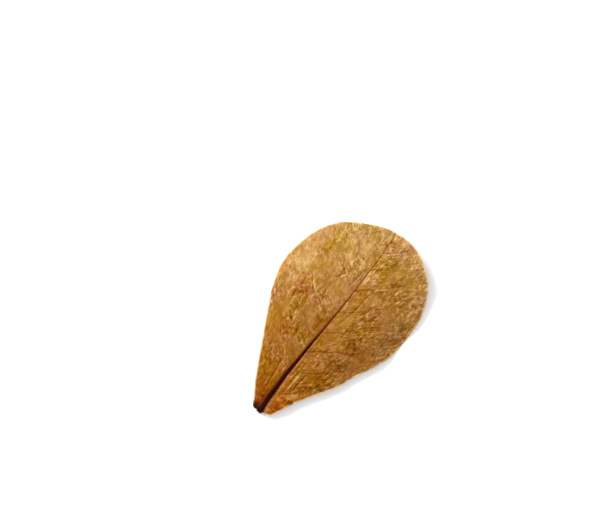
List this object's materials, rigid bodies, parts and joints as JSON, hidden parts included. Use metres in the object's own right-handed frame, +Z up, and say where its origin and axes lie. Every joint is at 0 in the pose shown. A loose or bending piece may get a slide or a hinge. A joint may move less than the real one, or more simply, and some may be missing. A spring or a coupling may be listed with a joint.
{
  "type": "dried leaf",
  "caption": "Dried brown leaf, broad near its round tip and narrow at the stalk, upper side up, with a sunken midrib above and raised side veins below.",
  "frame": {"origin": "the middle of the leaf's box, on the surface that it lies on", "axes": "+Y runs from the broken stalk to the tip, +X to the leaf's right seen from above, +Z up out of the upper face"},
  "size_m": [0.1186, 0.183, 0.0132],
  "materials": {
    "dried_leaf": "matte, mottled khaki brown, dark midrib"
  },
  "bodies": {
    "root": {"leaf": "dried_leaf"}
  },
  "joints": []
}
